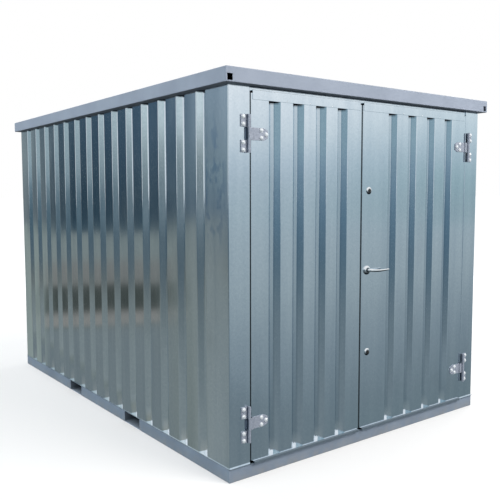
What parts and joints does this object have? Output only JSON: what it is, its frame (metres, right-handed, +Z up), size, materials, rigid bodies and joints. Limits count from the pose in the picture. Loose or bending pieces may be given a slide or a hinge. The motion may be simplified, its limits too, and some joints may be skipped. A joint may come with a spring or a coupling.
{
  "type": "portable steel site cabin",
  "caption": "Portable galvanised steel site cabin with ribbed walls, double front doors on strap hinges, a lever handle, fork pockets in the base and a roof rim with lifting holes.",
  "frame": {"origin": "on the ground under the middle of the roof rim", "axes": "+Z up, +Y from the doors to the rear wall, +X to the right as one faces the doors"},
  "size_m": [2.18, 3.08, 2.1],
  "materials": {
    "galvanised_sheet": "spangled galvanised",
    "rim_paint": "matte",
    "base_paint": "satin",
    "zinc_hinge": "zinc plated",
    "polished_metal": "polished",
    "floor_board": "film faced plywood"
  },
  "bodies": {
    "cabin": {"post_front_left": "galvanised_sheet", "post_front_right": "galvanised_sheet", "post_rear_left": "galvanised_sheet", "post_rear_right": "galvanised_sheet", "wall_left": "galvanised_sheet", "wall_right": "galvanised_sheet", "wall_rear": "galvanised_sheet", "door_header": "galvanised_sheet", "roof_sheet": "galvanised_sheet", "roof_rim_front": "rim_paint", "roof_rim_rear": "rim_paint", "roof_rim_left": "rim_paint", "roof_rim_right": "rim_paint", "base_rail_front": "base_paint", "base_rail_rear": "base_paint", "base_rail_left": "base_paint", "base_rail_right": "base_paint", "fork_tunnel_front": "base_paint", "fork_tunnel_rear": "base_paint", "floor_joists": "base_paint", "door_sill": "base_paint", "hinge_plates_upper_left": "zinc_hinge", "hinge_plates_lower_left": "zinc_hinge", "hinge_plates_upper_right": "zinc_hinge", "hinge_plates_lower_right": "zinc_hinge", "floor_boards": "floor_board"},
    "left_door": {"left_door_sheet": "galvanised_sheet", "left_door_top_rail": "galvanised_sheet", "left_door_drip_strip": "galvanised_sheet", "left_door_hinge_stile": "galvanised_sheet", "left_door_meeting_stile": "galvanised_sheet", "hinge_strap_upper_left": "zinc_hinge", "hinge_strap_lower_left": "zinc_hinge"},
    "right_door": {"right_door_sheet": "galvanised_sheet", "right_door_top_rail": "galvanised_sheet", "right_door_drip_strip": "galvanised_sheet", "right_door_hinge_stile": "galvanised_sheet", "right_door_lock_stile": "galvanised_sheet", "hinge_strap_upper_right": "zinc_hinge", "hinge_strap_lower_right": "zinc_hinge", "lock_upper": "polished_metal", "lock_lower": "polished_metal", "handle_rose": "polished_metal"},
    "door_lever": {"handle_lever": "polished_metal"}
  },
  "joints": [
    {"name": "left_door_swing", "type": "hinge", "parent": "cabin", "child": "left_door", "pos_m": [-0.93, -1.514, 1], "axis": [0, 0, -1], "range_deg": [0, 180]},
    {"name": "right_door_swing", "type": "hinge", "parent": "cabin", "child": "right_door", "pos_m": [0.93, -1.514, 1], "axis": [0, 0, 1], "range_deg": [0, 180]},
    {"name": "lever_turn", "type": "hinge", "parent": "right_door", "child": "door_lever", "pos_m": [-0.0375, -1.5, 1.032], "axis": [0, 1, 0], "range_deg": [0, 45], "stiffness_Nm_per_rad": 1.5, "springref_deg": -17.19}
  ]
}
